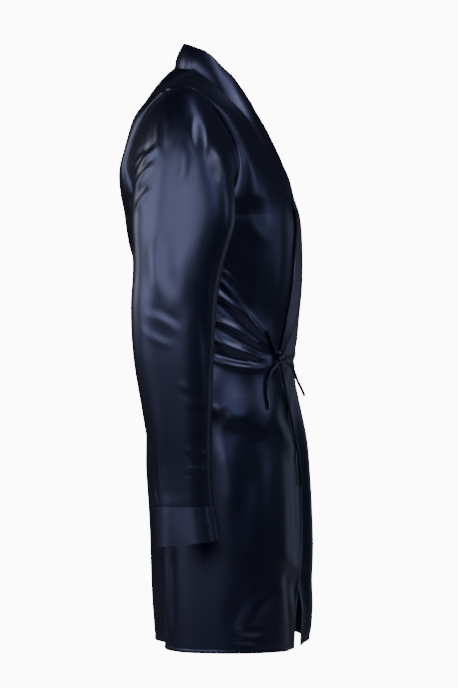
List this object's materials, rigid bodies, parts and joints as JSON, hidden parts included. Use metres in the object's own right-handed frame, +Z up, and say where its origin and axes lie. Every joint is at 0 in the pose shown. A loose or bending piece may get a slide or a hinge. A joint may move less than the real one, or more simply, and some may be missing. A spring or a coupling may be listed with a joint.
{
  "type": "silk kimono wrap robe",
  "caption": "Short silk wrap robe in its worn, open-bottomed shape, with a kimono neckband, long cuffed sleeves and narrow ties knotted at the waist.",
  "frame": {"origin": "middle of the neck opening, where the wearer's neck and shoulders hold the robe", "axes": "+Z up, -Y to the front, +X to the wearer's left"},
  "size_m": [0.555, 0.2499, 0.8188],
  "materials": {
    "silk": "satin"
  },
  "bodies": {
    "root": {"back": "silk", "front_right": "silk", "front_left": "silk", "sleeve_right": "silk", "sleeve_left": "silk", "cuff_right": "silk", "cuff_left": "silk", "neckband": "silk", "tie_knot": "silk", "tie_from_slit": "silk", "tie_tail_right": "silk", "tie_tail_left": "silk", "tie_tail_long": "silk"}
  },
  "joints": []
}
